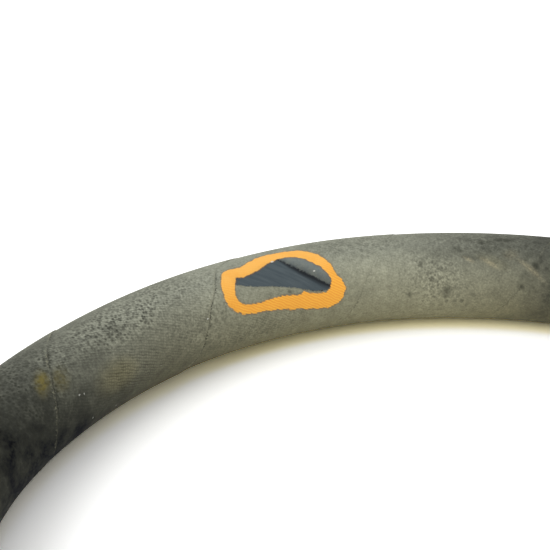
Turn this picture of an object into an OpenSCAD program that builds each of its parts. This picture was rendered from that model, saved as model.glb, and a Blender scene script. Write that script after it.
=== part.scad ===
// Hydraulic hose assembly, nominal bore 19 mm (3/4 in).
// A compact four-spiral wire hose lies on the floor in a U. Each of its ends is crimped
// into a straight coupling with a 37 degree cone seat and a swivel nut for a 1-1/16 in
// thread. Millimetres, +Z up. The origin is on the floor, midway between the couplings.

/* [Hose] */
// Nominal bore of the hose
bore_d = 19; // [17:0.5:20]
// Wall of the inner rubber tube
tube_wall = 1.4; // [1.2:0.1:2.4]
// Thickness of the textile ply that ties the tube to the wires
textile_t = 0.3; // [0.2:0.05:0.6]
// Thickness of one ply of spiral wire
wire_ply_t = 0.35; // [0.25:0.05:0.6]
// Thickness of the rubber cushion between two wire plies
cushion_t = 0.2; // [0.1:0.05:0.5]
// Wall of the wrapped rubber cover
cover_wall = 1.5; // [1:0.1:2.5]

/* [Insert] */
// Length of the barbed tail inside the hose
tail_len = 52; // [44:1:58]
// Wall of the tail under its barbs
tail_wall = 1; // [0.8:0.1:1.5]
// How far the oil passage widens from the tail to the nose, in radius
nose_bore_rise = 0.4; // [0.2:0.1:0.8]
// Height of a barb
barb_h = 0.45; // [0.2:0.05:0.6]
// Number of barbs along the tail
barb_count = 9; // [5:1:12]
// Thickness of the collar that the hose end butts against
stop_t = 2; // [1.5:0.1:3]
// Width of the groove that the ferrule locks into
lock_w = 4; // [3:0.1:6]
// Depth of the groove that the ferrule locks into
lock_depth = 1.8; // [1:0.1:2.5]
// Thickness of the collar between the ferrule and the swivel nut
collar_t = 4.7; // [3:0.1:8]
// Diameter of the neck that the swivel nut turns on
neck_d = 23.8; // [22.6:0.1:24.6]
// Cone angle of the seat, measured from the axis
seat_angle = 37; // [30:1:45]
// Flat rim left round the mouth of the seat
seat_rim = 0.6; // [0.4:0.1:1]

/* [Ferrule] */
// Length of hose held inside the ferrule
grip_len = 55; // [48:1:62]
// Wall of the ferrule after crimping
ferrule_wall = 2.85; // [2:0.05:4]
// How far the uncrimped bell at the mouth stands above the crimp
bell_rise = 1.2; // [0.8:0.1:2]
// Length of the bell at the mouth
bell_len = 6; // [4:0.5:9]
// How far the shoulder at the front stands above the crimp
shoulder_rise = 0.6; // [0.3:0.1:0.8]
// Number of dies in the crimp, each leaving a ridge at its edge
die_count = 8; // [6:1:12]
// Height of a ridge between two dies
ridge_h = 0.45; // [0.2:0.05:0.7]
// Number of grooves cut between the teeth inside the ferrule
tooth_gap_count = 6; // [3:1:8]
// Depth of a groove between the teeth
tooth_gap_depth = 0.8; // [0.4:0.1:1.2]

/* [Swivel nut] */
// Width of the nut across its flats
nut_af = 31.75; // [31:0.25:36]
// Length of the nut
nut_len = 24; // [22:0.5:28]
// Length of the back wall that turns on the neck
nut_back_len = 7.5; // [6.5:0.1:9]
// Length of the turned shoulder behind the hexagon
nut_turned_len = 7; // [5.5:0.1:9]
// Major diameter of the thread, to which the threaded bore is cut
thread_d = 27; // [26:0.1:28]
// Chamfer at the mouth of the thread
thread_chamfer = 1; // [0.5:0.1:1.2]
// Diameter of the wire that holds the nut on the neck
thrust_wire_d = 2; // [1.6:0.1:2.2]

/* [Fits] */
// Radial clearance between hose and metal
hose_fit = 0.05; // [0.02:0.01:0.1]
// Radial running clearance between neck and nut
neck_fit = 0.08; // [0.04:0.01:0.1]
// Clearance round the retaining wire in its groove
wire_fit = 0.2; // [0.1:0.05:0.3]
// Clearance round the ferrule's lip in its groove
lip_fit = 0.15; // [0.1:0.05:0.3]
// Gap between the insert's collar and the back of the nut
swivel_gap = 0.3; // [0.2:0.1:0.6]

/* [Hidden] */
$fn = 96;

// Hose layers from the bore outwards: thicknesses, and the radius under layer n.
// The hose is swept with a twelve-sided section, whose flats clear the insert's tail.
sides = 12;
layers = [tube_wall, textile_t,
          wire_ply_t, cushion_t, wire_ply_t, cushion_t, wire_ply_t, cushion_t, wire_ply_t,
          cover_wall];
function layer_sum(n) = n == 0 ? 0 : layers[n - 1] + layer_sum(n - 1);
function layer_r(n) = n == 0 ? bore_d / 2 / cos(180 / sides) : bore_d / 2 + layer_sum(n);
first_wire_layer = 2;
cover_layer = len(layers) - 1;
hose_r = layer_r(len(layers));

// Insert, along z from the cut end of the hose at 0 to the nose
tail_r = bore_d / 2 - hose_fit;
barb_root_r = tail_r - barb_h;
port_r = barb_root_r - tail_wall;
nose_bore_r = port_r + nose_bore_rise;
tail_land = 4;
tail_tip = 1.5;
barb_pitch = (tail_len - tail_land - tail_tip) / barb_count;
barb_crest = 0.7;
barb_drop = 0.85;
stop_inset = 1.5;
stop_r = hose_r - stop_inset;
lock_r = stop_r - lock_depth;
lock_z = stop_t;
collar_z = lock_z + lock_w;
neck_z = collar_z + collar_t;
neck_r = neck_d / 2;
edge = 0.5;

// Swivel nut, behind which the collar stands
nut_z = neck_z + swivel_gap;
thread_r = thread_d / 2;
thread_z = nut_z + nut_back_len;
nut_front_z = nut_z + nut_len;
nut_corner_r = nut_af / 2 / cos(30);
turned_inset = 0.4;
nut_turned_r = nut_af / 2 - turned_inset;
face_inset = 0.2;
hex_face_r = nut_af / 2 - face_inset;
nut_bevel_angle = 30;
wire_z = nut_z + nut_back_len / 2;
wire_ring_r = neck_r + neck_fit / 2;
wire_groove_d = thrust_wire_d + 2 * wire_fit;
wire_sweep = 335;

// The nose ends just inside the back wall, so the whole thread stays free
nose_setback = 0.2;
nose_z = thread_z - nose_setback;
seat_r = neck_r - seat_rim;
seat_depth = (seat_r - nose_bore_r) / tan(seat_angle);

// Ferrule
ferrule_r = hose_r + hose_fit;
crimp_r = ferrule_r + ferrule_wall;
bell_r = crimp_r + bell_rise;
shoulder_r = crimp_r + shoulder_rise;
shoulder_len = 5;
taper = 2.5;
mouth_z = -grip_len;
crimp_start = mouth_z + bell_len + taper;
crimp_end = -shoulder_len;
lip_z = lock_z + lip_fit;
ferrule_front_z = collar_z - lip_fit;
front_lip_wall = 2;
ferrule_front_r = stop_r + front_lip_wall;
mouth_flare = 0.6;
tooth_gap_pitch = (crimp_end - crimp_start) / tooth_gap_count;
tooth_gap_share = 0.55;
tooth_flank_share = 0.1;
tooth_share = (1 - tooth_gap_share) / 2;
ridge_w = 1.6;

// Heights of the axis: on the floor the hose rests on its cover, and the couplings rest
// on whichever of the bell and the hexagon is wider
coupling_h = max(bell_r, nut_corner_r);
function axis_h(lift) = hose_r + lift * (coupling_h - hose_r);

// Route of the hose's centre line from the cut end of coupling A to the top of the bend.
// Each point is [x, y, lift]: lift 0 lies on the floor, and lift 1 is on the coupling's axis.
half_route = [[145, -10, 1],
              [145, 45, 1],
              [145, 70, 1],
              [145, 97, 0.65],
              [145, 124, 0.15],
              [145, 150, 0],
              [138, 195, 0],
              [117, 235, 0],
              [85, 267, 0],
              [45, 288, 0]];
bend_top = [0, 295, 0];
last = len(half_route) - 1;
route = [for (p = half_route) [p[0], p[1], axis_h(p[2])],
         [bend_top[0], bend_top[1], axis_h(bend_top[2])],
         for (i = [last:-1:0]) let (p = half_route[i]) [-p[0], p[1], axis_h(p[2])]];

rubber_black = [0.13, 0.13, 0.14];
cover_grey = [0.40, 0.39, 0.33];
textile_buff = [0.72, 0.66, 0.50];
wire_brass = [0.72, 0.66, 0.48];
cushion_black = [0.20, 0.20, 0.21];
zinc_plate = [0.76, 0.76, 0.74];
spring_steel = [0.50, 0.51, 0.53];

// --- Sweep of one hollow hose layer ---

function unit(v) = v / norm(v);
function heading(path, i) = unit(path[min(i + 1, len(path) - 1)] - path[max(i - 1, 0)]);

// Corners of the section at point i of the path, counted from its right-hand side
function section(path, i, r) =
    let (t = heading(path, i), right = unit(cross(t, [0, 0, 1])), up = cross(right, t))
    [for (k = [0:sides - 1]) let (a = 360 * k / sides) path[i] + r * (cos(a) * right + sin(a) * up)];

function quad(a, b, c, d) = [[a, b, c], [a, c, d]];

module hollow_sweep(path, inner_r, outer_r) {
    n = len(path);
    inner_start = n * sides;
    function outer_at(i, k) = i * sides + k % sides;
    function inner_at(i, k) = inner_start + outer_at(i, k);
    points = [for (r = [outer_r, inner_r], i = [0:n - 1]) each section(path, i, r)];
    walls = [for (i = [0:n - 2], k = [0:sides - 1]) each concat(
        quad(outer_at(i, k), outer_at(i, k + 1), outer_at(i + 1, k + 1), outer_at(i + 1, k)),
        quad(inner_at(i, k), inner_at(i + 1, k), inner_at(i + 1, k + 1), inner_at(i, k + 1)))];
    ends = [for (k = [0:sides - 1]) each concat(
        quad(outer_at(0, k), inner_at(0, k), inner_at(0, k + 1), outer_at(0, k + 1)),
        quad(outer_at(n - 1, k), outer_at(n - 1, k + 1), inner_at(n - 1, k + 1), inner_at(n - 1, k)))];
    polyhedron(points = points, faces = concat(walls, ends), convexity = 6);
}

module hose_layer(n) {
    hollow_sweep(route, layer_r(n), layer_r(n + 1));
}

module inner_tube() {
    color(rubber_black) hose_layer(0);
}

module textile_ply() {
    color(textile_buff) hose_layer(1);
}

module wire_ply(number) {
    color(wire_brass) hose_layer(first_wire_layer + 2 * (number - 1));
}

module cushion_layer(number) {
    color(cushion_black) hose_layer(first_wire_layer + 2 * number - 1);
}

module hose_cover() {
    color(cover_grey) hose_layer(cover_layer);
}

// --- Couplings, drawn along +z from the cut end of the hose ---

// Puts a coupling on the hose end at side 1 (A) or -1 (B), pointing towards -Y
module at_hose_end(side) {
    translate([side * half_route[0][0], half_route[0][1], coupling_h]) rotate([90, 0, 0]) children();
}

// Barbs rise gently towards the coupling and drop steeply, so the hose can't slide off
function barb_outline() =
    [for (i = [0:barb_count - 1], p = [[0, 0], [barb_crest, barb_h], [barb_drop, barb_h], [barb_drop, 0]])
        [barb_root_r + p[1], tail_tip - tail_len + (i + p[0]) * barb_pitch]];

module insert(side) {
    outline = concat(
        [[port_r + edge / 2, -tail_len], [barb_root_r - edge / 2, -tail_len]],
        barb_outline(),
        [[barb_root_r, -tail_land], [tail_r, barb_h - tail_land], [tail_r, 0],
         [stop_r, 0], [stop_r, lock_z], [lock_r, lock_z], [lock_r, collar_z],
         [stop_r - edge, collar_z], [stop_r, collar_z + edge], [stop_r, neck_z - edge],
         [stop_r - edge, neck_z], [neck_r, neck_z], [neck_r, nose_z - edge / 2],
         [neck_r - edge / 2, nose_z], [seat_r, nose_z], [nose_bore_r, nose_z - seat_depth],
         [nose_bore_r, edge + nose_bore_rise], [port_r, edge], [port_r, edge - tail_len]]);
    color(zinc_plate) at_hose_end(side) difference() {
        rotate_extrude() polygon(outline);
        wire_groove();
    }
}

// Round groove shared by the neck and the nut, in which the retaining wire runs
module wire_groove() {
    translate([0, 0, wire_z]) rotate_extrude() translate([wire_ring_r, 0]) circle(d = wire_groove_d);
}

// Grooves between the teeth that bite into the cover, listed from the front to the mouth
function tooth_outline() =
    let (groove = [[tooth_gap_share, 0], [tooth_gap_share - tooth_flank_share, 1],
                   [tooth_flank_share, 1], [0, 0]])
    [for (i = [tooth_gap_count - 1:-1:0], p = groove)
        [ferrule_r + p[1] * tooth_gap_depth, crimp_start + (i + tooth_share + p[0]) * tooth_gap_pitch]];

module ferrule(side) {
    outline = concat(
        [[ferrule_r + mouth_flare, mouth_z], [bell_r - edge, mouth_z], [bell_r, mouth_z + edge],
         [bell_r, mouth_z + bell_len], [crimp_r, crimp_start], [crimp_r, crimp_end],
         [shoulder_r, crimp_end + taper / 2], [shoulder_r, 0], [ferrule_front_r + edge, ferrule_front_z - edge],
         [ferrule_front_r, ferrule_front_z], [lock_r + lip_fit, ferrule_front_z],
         [lock_r + lip_fit, lip_z], [ferrule_r, lip_z]],
        tooth_outline(),
        [[ferrule_r, mouth_z + taper]]);
    color(zinc_plate) at_hose_end(side) union() {
        rotate_extrude() polygon(outline);
        for (i = [0:die_count - 1]) rotate(360 / die_count * (i + 0.5)) die_ridge();
    }
}

// Rounded ridge squeezed up between two crimping dies, running out in the tapers
module die_ridge() {
    translate([crimp_r + ridge_h - ridge_w / 2, 0, crimp_start - edge])
        cylinder(d = ridge_w, h = crimp_end - crimp_start + 2 * edge, $fn = 24);
}

// Section of the nut: turned shoulder, bevelled hexagon, threaded bore and bore on the neck
function nut_outline() =
    let (hex_z = nut_z + nut_turned_len, over_r = nut_corner_r + edge,
         bevel_h = (over_r - hex_face_r) * tan(nut_bevel_angle))
    [[neck_r + neck_fit, nut_z], [nut_turned_r - edge, nut_z], [nut_turned_r, nut_z + edge],
     [nut_turned_r, hex_z], [hex_face_r, hex_z], [over_r, hex_z + bevel_h],
     [over_r, nut_front_z - bevel_h], [hex_face_r, nut_front_z],
     [thread_r + thread_chamfer, nut_front_z], [thread_r, nut_front_z - thread_chamfer],
     [thread_r, thread_z], [neck_r + neck_fit, thread_z]];

module swivel_nut(side) {
    color(zinc_plate) at_hose_end(side) difference() {
        intersection() {
            rotate_extrude() polygon(nut_outline());
            translate([0, 0, nut_z - edge]) cylinder(r = nut_corner_r, h = nut_len + 2 * edge, $fn = 6);
        }
        wire_groove();
        // hole through which the wire is fed into its groove
        translate([0, wire_ring_r, wire_z]) rotate([0, 90, 0])
            cylinder(d = wire_groove_d + wire_fit, h = nut_af, $fn = 32);
    }
}

module retaining_wire(side) {
    color(spring_steel) at_hose_end(side) translate([0, 0, wire_z])
        rotate_extrude(angle = wire_sweep) translate([wire_ring_r, 0]) circle(d = thrust_wire_d, $fn = 32);
}

inner_tube();
textile_ply();
wire_ply(1);  // wire_ply_1
wire_ply(2);  // wire_ply_2
wire_ply(3);  // wire_ply_3
wire_ply(4);  // wire_ply_4
cushion_layer(1);  // cushion_layer_1
cushion_layer(2);  // cushion_layer_2
cushion_layer(3);  // cushion_layer_3
hose_cover();
insert(1);  // insert_a
ferrule(1);  // ferrule_a
swivel_nut(1);  // swivel_nut_a
retaining_wire(1);  // retaining_wire_a
insert(-1);  // insert_b
ferrule(-1);  // ferrule_b
swivel_nut(-1);  // swivel_nut_b
retaining_wire(-1);  // retaining_wire_b
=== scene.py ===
"""Looks for the hydraulic hose assembly, built round its CAD frame. Metres, +Z up."""
import math

import bmesh
import bpy
import numpy as np
from mathutils import Matrix, Vector


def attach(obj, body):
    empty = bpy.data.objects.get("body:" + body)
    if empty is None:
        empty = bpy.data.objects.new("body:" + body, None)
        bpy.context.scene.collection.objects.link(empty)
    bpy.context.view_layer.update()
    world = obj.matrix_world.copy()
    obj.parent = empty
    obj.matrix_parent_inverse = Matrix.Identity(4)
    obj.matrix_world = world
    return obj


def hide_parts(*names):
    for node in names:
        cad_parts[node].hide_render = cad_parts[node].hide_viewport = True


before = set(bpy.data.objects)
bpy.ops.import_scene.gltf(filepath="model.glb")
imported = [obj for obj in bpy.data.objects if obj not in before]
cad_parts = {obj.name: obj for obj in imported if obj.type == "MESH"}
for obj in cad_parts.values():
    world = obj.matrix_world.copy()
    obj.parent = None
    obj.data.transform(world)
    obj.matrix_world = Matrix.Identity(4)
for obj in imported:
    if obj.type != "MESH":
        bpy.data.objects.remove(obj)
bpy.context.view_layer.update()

MM = 0.001


# --- Node helpers ---

def srgb(code):
    """Linear RGBA of an sRGB hex colour."""
    parts = [int(code[i:i + 2], 16) / 255 for i in (1, 3, 5)]
    return (*[c / 12.92 if c <= 0.04045 else ((c + 0.055) / 1.055) ** 2.4 for c in parts], 1.0)


def add(tree, kind, sockets=(), **settings):
    """Adds a node with its settings, then sets its sockets or links them to other nodes' outputs.

    The sockets come in order, or by name or number. A Map Range takes the value, the range that it
    is from and the range that it goes to. In a Mix 0 is the share, 2 and 3 are two numbers, 6 and 7
    two colours. A node stands for its first output in use.
    """
    made = tree.nodes.new("ShaderNode" + kind)
    for name, value in settings.items():
        setattr(made, name, value)
    for key, value in sockets.items() if isinstance(sockets, dict) else enumerate(sockets):
        if isinstance(value, bpy.types.Node):
            value = next(output for output in value.outputs if output.enabled)
        if isinstance(value, bpy.types.NodeSocket):
            tree.links.new(value, made.inputs[key])
        else:
            made.inputs[key].default_value = value
    return made


def new_material(name):
    """A material with no nodes yet, and its node tree."""
    material = bpy.data.materials.new(name)
    material.use_nodes = True
    material.node_tree.nodes.clear()
    return material, material.node_tree


# A wave texture's bands repeat every 0.31416 / scale
BAND = 0.31416


# --- Camera, floor and light ---

CAMERA_PLACE = (-0.0604, -0.0271, 0.1872)
CAMERA_PITCH = 61.83
CAMERA_LENS = 69.25
FLOOR_REACH = 3
# The floor to the eye, over 1 so that it burns out, and where painted olive bounce light lies beside
# the hose
FLOOR_WHITE, FLOOR_PAINTED_BOUNCE = (1.7, 1.7, 1.68, 1), (1.66, 1.52, 0.98, 1)
# How far from the hose that painted bounce light reaches
PAINTED_BOUNCE_REACH = 5 * MM
KEY_PLACE, KEY_AIM = (-1.9, -0.6, 1.4), (-0.06, 0.25, 0)
KEY_SIZE, KEY_POWER = 2.2, 40
# What the pale room gives the object, as a share of its brightness to the eye
ROOM_LIGHT = 0.65


def add_camera():
    data = bpy.data.cameras.new("camera")
    data.sensor_width = 36
    data.lens = CAMERA_LENS
    data.clip_start = 0.01
    camera = bpy.data.objects.new("camera", data)
    camera.location = CAMERA_PLACE
    camera.rotation_euler = (math.radians(CAMERA_PITCH), 0, 0)
    bpy.context.collection.objects.link(camera)
    bpy.context.scene.camera = camera


def seen_directly(tree):
    """1 for the rays that show a surface to the eye or in a gloss, and 0 for those that light."""
    rays = add(tree, "LightPath")
    return add(tree, "Math", (rays.outputs["Is Camera Ray"], rays.outputs["Is Glossy Ray"]),
               operation="MAXIMUM")


def floor_material():
    """Pale table laminate: a little gloss, and bright enough to the eye to burn out. Beside the hose it
    carries painted olive bounce light.
    """
    material, tree = new_material("pale_laminate")
    # painted bounce light: close to the hose the floor is tinted olive as if lit mostly by what the
    # olive rubber throws back, less so along the left of the bend and not at all by the couplings
    painted_bounce_ao = add(tree, "AmbientOcclusion", {"Distance": PAINTED_BOUNCE_REACH}, samples=8)
    olive = add(tree, "MapRange", (painted_bounce_ao.outputs["AO"], 0.45, 0.9, 1, 0))
    place = add(tree, "TexCoord")
    place = add(tree, "SeparateXYZ", {0: place.outputs["Object"]})
    by_y = add(tree, "MapRange", (place.outputs["Y"], 50 * MM, 90 * MM, 0, 1))
    by_x = add(tree, "MapRange", (place.outputs["X"], -130 * MM, -65 * MM, 0.3, 1))
    olive = add(tree, "Math", (olive, by_y), operation="MULTIPLY")
    olive = add(tree, "Math", (olive, by_x), operation="MULTIPLY")
    painted_bounce_tint = add(tree, "Mix", {0: olive, 6: FLOOR_WHITE, 7: FLOOR_PAINTED_BOUNCE}, data_type="RGBA")
    colour = add(tree, "Mix", {0: seen_directly(tree), 6: srgb("#dcdcda"), 7: painted_bounce_tint}, data_type="RGBA")
    shader = add(tree, "BsdfPrincipled",
                 {"Base Color": colour, "Roughness": 0.35, "Specular IOR Level": 0.3})
    add(tree, "OutputMaterial", {"Surface": shader})
    return material


def add_floor():
    bm = bmesh.new()
    bmesh.ops.create_grid(bm, x_segments=2, y_segments=2, size=FLOOR_REACH)
    mesh = bpy.data.meshes.new("floor")
    bm.to_mesh(mesh)
    bm.free()
    mesh.materials.append(floor_material())
    floor = bpy.data.objects.new("floor", mesh)
    bpy.context.collection.objects.link(floor)


def add_light():
    """A broad soft light from the left, and a pale room all round."""
    world = bpy.data.worlds.new("studio")
    bpy.context.scene.world = world
    world.use_nodes = True
    tree = world.node_tree
    tree.nodes.clear()
    strength = add(tree, "Mix", {0: seen_directly(tree), 2: ROOM_LIGHT, 3: 1.0})
    room = add(tree, "Background", {"Color": srgb("#ffffff"), "Strength": strength})
    add(tree, "OutputWorld", {"Surface": room})

    data = bpy.data.lights.new("key", "AREA")
    data.size = KEY_SIZE
    data.energy = KEY_POWER
    key = bpy.data.objects.new("key", data)
    key.location = KEY_PLACE
    key.rotation_euler = (Vector(KEY_AIM) - Vector(KEY_PLACE)).to_track_quat("-Z", "Y").to_euler()
    bpy.context.collection.objects.link(key)


# --- The hose's route and its coordinates ---

# In mm. The couplings' axis stands at COUPLING_H, and between them the hose rests on the floor
HOSE_R = 14.7
COUPLING_H = 18.8
# x, y and the share of the lift from the floor to the couplings' axis
HALF_ROUTE = [(145, -10, 1), (145, 45, 1), (145, 70, 1), (145, 97, 0.65), (145, 124, 0.15),
              (145, 150, 0), (138, 195, 0), (117, 235, 0), (85, 267, 0), (45, 288, 0)]
BEND_TOP = (0, 295, 0)
# The hose's heading is taken over this far on each side of a place
HEADING_REACH = 1.5


def whole_route():
    """Points of the centre line in mm, from coupling A over the bend to coupling B."""
    there = HALF_ROUTE + [BEND_TOP]
    back = [(-x, y, lift) for x, y, lift in reversed(HALF_ROUTE)]
    return np.array([(x, y, HOSE_R + lift * (COUPLING_H - HOSE_R)) for x, y, lift in there + back])


def smooth_line(points, closed=False, steps=12):
    """Catmull-Rom curve through the points."""
    points = np.asarray(points, float)
    if closed:
        knots = np.vstack([points[-1], points, points[:2]])
    else:
        knots = np.vstack([2 * points[0] - points[1], points, 2 * points[-1] - points[-2]])
    t = np.linspace(0, 1, steps, endpoint=False)[:, None]
    spans = [0.5 * (2 * b + (c - a) * t + (2 * a - 5 * b + 4 * c - d) * t ** 2
                    + (3 * b - a - 3 * c + d) * t ** 3)
             for a, b, c, d in zip(knots, knots[1:], knots[2:], knots[3:])]
    line = np.vstack(spans)
    return line if closed else np.vstack([line, points[-1]])


LINE = smooth_line(whole_route(), steps=24)
LINE[:, 2] = np.maximum(LINE[:, 2], HOSE_R)
LINE_S = np.concatenate([[0], np.cumsum(np.linalg.norm(np.diff(LINE, axis=0), axis=1))])
HOSE_LENGTH = LINE_S[-1]


def line_point(s):
    """Point of the centre line at a distance in mm from coupling A."""
    return np.stack([np.interp(s, LINE_S, LINE[:, i]) for i in range(3)], -1)


def on_line(along):
    """Centre, outward side and up vectors at distances in mm from the bend's top, + to coupling A."""
    s = HOSE_LENGTH / 2 - along
    heading = line_point(s + HEADING_REACH) - line_point(s - HEADING_REACH)
    heading /= np.linalg.norm(heading, axis=-1, keepdims=True)
    outward = np.cross(heading, [0, 0, 1])
    outward /= np.linalg.norm(outward, axis=-1, keepdims=True)
    return line_point(s), outward, np.cross(outward, heading)


def wrap_point(along, around, radius):
    """Point in metres on the hose: around is in mm of cover from its top, + to the bend's inside."""
    centre, outward, up = on_line(along)
    angle = (around / HOSE_R)[..., None]
    spoke = np.cos(angle) * up - np.sin(angle) * outward
    return (centre + radius[..., None] * spoke) * MM


# --- Wrap seams, paint ring and slice, in mm along and around the cover ---

GIRTH = 2 * math.pi * HOSE_R
# The tape's edge winds left-handed: turns round the hose, mm along it, and how bold the edge is
SEAM = [(-4.2, 284, 0.6), (-1, 92, 0.6), (0, 33.5, 0.4), (0.1, 29, 0.05), (0.19, 24.2, 0.05),
        (0.22, 22.3, 0.3), (0.3, 16.9, 0.3), (0.34, 14, 0.1), (0.9, -17.5, 0.4), (0.98, -21.2, 0.35),
        (1.02, -24, 0.05), (1.18, -34.2, 0.2), (1.26, -37.8, 0.4), (1.32, -41, 0.2), (1.9, -72, 0.6),
        (1.96, -78.5, 0.4), (2, -83.9, 0.15), (2.04, -86.1, 0.45), (2.09, -89.4, 0.5),
        (2.14, -93.4, 0.6), (2.18, -95.8, 0.6), (2.21, -97.3, 0.5), (2.25, -98.8, 0.8),
        (2.29, -100.5, 1.4), (2.34, -103.8, 1.4), (2.9, -138.2, 0.7), (2.95, -143, 0.5),
        (2.98, -146.6, 0.15), (3.01, -150.1, 0.25), (3.03, -152.2, 0.6), (3.06, -154.9, 0.4),
        (3.1, -158, 0.35), (3.12, -159.5, 0.5), (3.15, -160.9, 0.5), (3.19, -163.2, 0.55),
        (3.23, -165.2, 0.45), (3.26, -166.2, 0.35), (3.31, -166.8, 0.3), (4.3, -229.5, 0.6),
        (7.6, -427.5, 0.6)]
# Distance square to a seam as a share of the distance along the hose
SEAM_SLANT = math.cos(math.radians(33))
# How far the tape's edge stands over the turn below it
SEAM_STEP = 0.35
# The seams' slow and fast waver, as its reach in mm and its rate in a turn
SEAM_WAVERS = [(0.3, 14), (0.2, 70)]
# Farther in mm than any seam
FAR = 1e3

# The paint ring and the slice are drawn from this place along the hose
RING_AT = -64.7
# Their marks are worked out this far along from it, and between these two places around the hose
RING_REACH, RING_TOP, RING_FOOT = 30, -8, 30
# What the marks read anywhere else
OFF_RING = -9.0
# Outer and inner edge of the painted ring, from its middle
RING_OUTER = [(-19, 3.2), (-16.4, 1.9), (-11.5, 2), (-6.8, 0.5), (-3, -0.9), (2.3, -0.9), (7.6, -0.2),
              (11.1, 0.6), (13.7, 2.5), (16.4, 4.6), (18.1, 7.2), (19.4, 9.6), (20.3, 12.5),
              (21.9, 14.9), (23, 17.8), (21.3, 20.8), (19.2, 22.4), (16, 23.3), (11, 22.9),
              (6.8, 22.3), (4, 21.2), (1.9, 21.6), (-1.4, 20.6), (-5.6, 19.9), (-9.7, 19.5),
              (-14.8, 19), (-18.7, 17.8), (-21.1, 15.8), (-22.7, 12.8), (-22.3, 9.5), (-21.3, 6.5)]
RING_INNER = [(-16.1, 7.4), (-15.5, 6.2), (-14.8, 6.2), (-11.5, 6.6), (-8.4, 5.9), (-5.7, 5.2),
              (-2.3, 3.8), (2.8, 2.9), (6.2, 3.1), (9.5, 4.5), (12.1, 6.5), (14.2, 8.4), (15.9, 10.4),
              (17.6, 12.6), (17.8, 15.2), (16.3, 17.6), (13.3, 18), (9.4, 17.4), (7.1, 16.3),
              (5.2, 17), (3, 16.9), (-0.7, 16.2), (-4.9, 16.3), (-9.1, 16.4), (-13.2, 16.2),
              (-16.2, 15.6), (-18.3, 13.6), (-18.4, 11.5), (-17.2, 8.8)]
OUTER_WAVER, INNER_WAVER = 0.18, 0.12
# The slice's upper edge, its deep edge on the right, and its lower edge
SLICE_UPPER = [(-17.5, 7), (-14.5, 5.4), (-10.4, 5.8), (-6.1, 4.3), (-2.3, 3.1), (1.8, 2.6)]
SLICE_DEEP = [(1.8, 2.6), (5, 6.3), (7.9, 9), (11.8, 11.9), (14.5, 14), (18.3, 16.2)]
SLICE_LOWER = [(18.3, 16.2), (16, 17.5), (11.5, 17.2), (7.6, 16), (3.8, 14.7), (-3.7, 12.7),
               (-10.5, 11.1), (-14, 9.9), (-17, 8.6), (-17.5, 7)]
SLICE_LINE = SLICE_UPPER[:-1] + SLICE_DEEP[:-1] + SLICE_LOWER[:-1]
# The scuffed lip lies between the deep edge and these places, inside the ring
LIP_LINE = SLICE_DEEP + [(24, 14), (20, 2), (8, -2)]
# Places from the ring's middle, and there the width of the painted shadow line under the lip in the
# deep edge
LIP_SHADOW_LINE = [(1.8, 0.5), (9, 1.3), (18, 1.4)]
SLICE_DEPTH = 1.1
# How steeply the slice goes in from its thin edges
SLICE_SLOPE = 0.28
# The deep edge's wall slopes over this width
SLICE_WALL = 0.9


def wiggle(x, seed):
    """Smooth waver between -1 and 1."""
    return (np.sin(1.9 * x + seed) + np.sin(4.7 * x + 2.3 * seed) + np.sin(9.1 * x + 4.1 * seed)) / 3


def seam_distances(along, around):
    """Distances in mm to the next seam on the left and on the right, and the boldness of the left
    one and of the nearest one."""
    turns, places, boldness = np.array(SEAM).T
    left, right = np.full(along.shape, FAR), np.full(along.shape, FAR)
    left_bold, right_bold = np.zeros(along.shape), np.zeros(along.shape)
    for lap in range(math.floor(turns[0]), math.ceil(turns[-1]) + 1):
        turn = lap + around / GIRTH
        seam = np.interp(turn, turns, places)
        for seed, (reach, rate) in enumerate(SEAM_WAVERS, 1):
            seam = seam + reach * wiggle(turn * rate, seed)
        bold = np.interp(turn, turns, boldness)
        gap = (along - seam) * SEAM_SLANT
        is_left = (gap >= 0) & (gap < left)
        is_right = (gap < 0) & (-gap < right)
        left, left_bold = np.where(is_left, gap, left), np.where(is_left, bold, left_bold)
        right, right_bold = np.where(is_right, -gap, right), np.where(is_right, bold, right_bold)
    return left, right, left_bold, np.where(left < right, left_bold, right_bold)


def to_edges(points, edge):
    """Distance from each point to a run of straight edges."""
    edge = np.asarray(edge, float)
    start, end = edge[:-1], edge[1:]
    run = end - start
    lead = points[:, None] - start
    share = np.clip((lead * run).sum(-1) / (run * run).sum(-1), 0, 1)
    return np.linalg.norm(lead - share[..., None] * run, axis=-1).min(-1)


def inside(points, outline):
    """Distance to a closed outline, positive inside it."""
    start = np.asarray(outline, float)
    end = np.roll(start, -1, axis=0)
    x, y = points[:, :1], points[:, 1:]
    rise = np.where(end[:, 1] == start[:, 1], 1e-9, end[:, 1] - start[:, 1])
    crossing = start[:, 0] + (y - start[:, 1]) * (end[:, 0] - start[:, 0]) / rise
    odd = (((start[:, 1] > y) != (end[:, 1] > y)) & (x < crossing)).sum(-1) % 2 == 1
    return np.where(odd, 1, -1) * to_edges(points, np.vstack([start, start[:1]]))


def hand_drawn(outline, seed, waver):
    """Smooth closed line through the points, with a brush's small waver in mm."""
    line = smooth_line(outline, closed=True, steps=10)
    turn = np.arange(len(line)) / 8
    return line + waver * np.stack([wiggle(turn, seed), wiggle(turn, seed + 1)], -1)


def by_ring(along, around):
    """Which places lie on or near the paint ring, and where those are from its middle."""
    near = (abs(along - RING_AT) < RING_REACH) & (around > RING_TOP) & (around < RING_FOOT)
    return near, np.stack([along[near] - RING_AT, around[near]], -1)


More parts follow.
